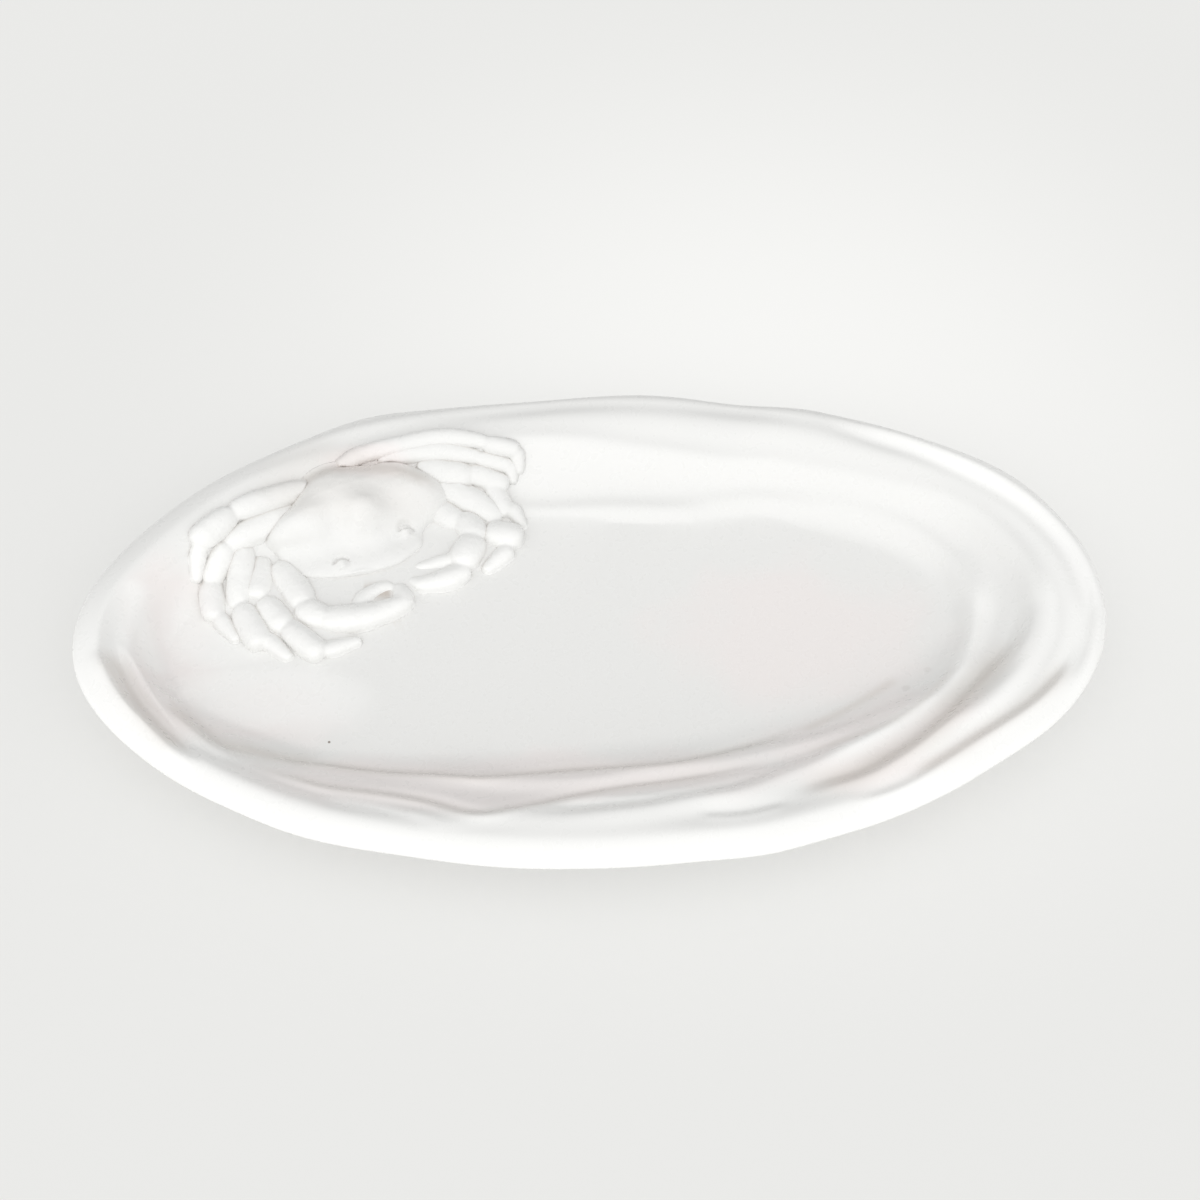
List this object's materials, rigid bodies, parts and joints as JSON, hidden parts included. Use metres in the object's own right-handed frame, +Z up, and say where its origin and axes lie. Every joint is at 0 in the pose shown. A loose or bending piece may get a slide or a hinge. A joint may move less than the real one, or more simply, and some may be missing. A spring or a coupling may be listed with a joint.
{
  "type": "oval serving platter",
  "caption": "Hand-formed oval serving platter in white glazed earthenware, with a rippled wall, a rolled wavy lip, a foot ring and a crab in high relief at one corner.",
  "frame": {"origin": "middle of the platter's length and width, on the surface that its foot ring stands on", "axes": "+X along the length, to the right as seen from the near side; +Y across the width, to the far side; +Z up. The crab is at the far left, towards -X and +Y."},
  "size_m": [0.5, 0.28, 0.04],
  "materials": {
    "white_glaze": "thick glossy white tin glaze, slightly pink where it runs thin",
    "bare_biscuit": "fired clay, wiped clean of glaze on the foot"
  },
  "bodies": {
    "root": {"platter_body": "white_glaze", "foot_ring": "bare_biscuit", "shell": "white_glaze", "mouth": "white_glaze", "left_eye": "white_glaze", "right_eye": "white_glaze", "left_claw_arm": "white_glaze", "left_claw_wrist": "white_glaze", "left_claw_palm": "white_glaze", "left_claw_finger": "white_glaze", "right_claw_shoulder": "white_glaze", "right_claw_arm": "white_glaze", "right_claw_wrist": "white_glaze", "right_claw_palm": "white_glaze", "right_claw_finger": "white_glaze", "right_leg_1_upper": "white_glaze", "right_leg_1_lower": "white_glaze", "right_leg_1_tip": "white_glaze", "right_leg_2_upper": "white_glaze", "right_leg_2_lower": "white_glaze", "right_leg_2_tip": "white_glaze", "right_leg_3_upper": "white_glaze", "right_leg_3_knee": "white_glaze", "right_leg_3_lower": "white_glaze", "right_leg_3_tip": "white_glaze", "right_leg_4_upper": "white_glaze", "right_leg_4_lower": "white_glaze", "right_leg_4_tip": "white_glaze", "left_leg_1_upper": "white_glaze", "left_leg_1_lower": "white_glaze", "left_leg_1_tip": "white_glaze", "left_leg_2_upper": "white_glaze", "left_leg_2_knee": "white_glaze", "left_leg_2_lower": "white_glaze", "left_leg_2_tip": "white_glaze", "left_leg_3_upper": "white_glaze", "left_leg_3_lower": "white_glaze", "left_leg_3_tip": "white_glaze", "left_leg_4_upper": "white_glaze", "left_leg_4_knee": "white_glaze", "left_leg_4_lower": "white_glaze", "left_leg_4_tip": "white_glaze"}
  },
  "joints": []
}
